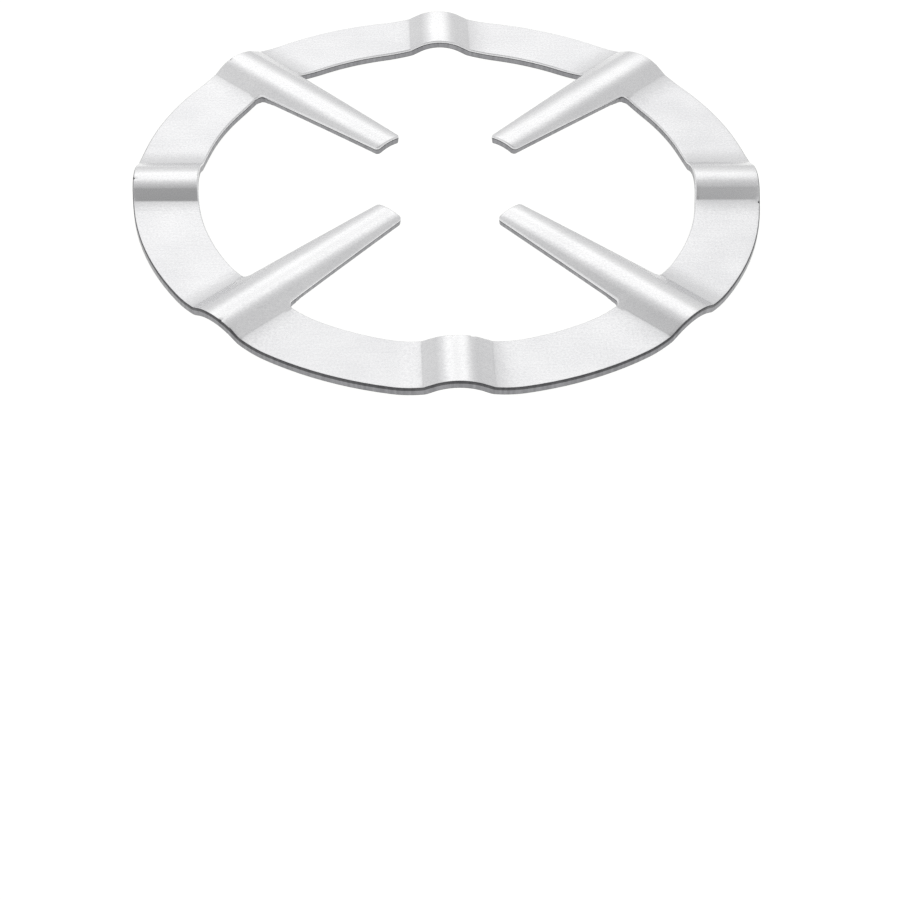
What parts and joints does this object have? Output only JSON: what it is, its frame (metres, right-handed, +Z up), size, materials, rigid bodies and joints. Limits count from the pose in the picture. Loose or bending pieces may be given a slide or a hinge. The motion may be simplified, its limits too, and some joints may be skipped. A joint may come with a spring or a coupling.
{
  "type": "wok stand",
  "caption": "Flat pressed-steel ring with radial ridges and inward fingers that rests on a gas hob's pan support and carries a small pan or wok over the flame.",
  "frame": {"origin": "centre of the ring on the plane of its underside, where it rests", "axes": "+Z up towards the pan; +X and +Y along two of the short ridges, so that the fingers lie on the diagonals"},
  "size_m": [0.155, 0.155, 0.005],
  "materials": {
    "stainless_sheet": "satin stainless steel with a fine grain"
  },
  "bodies": {
    "root": {"wok_stand": "stainless_sheet"}
  },
  "joints": []
}
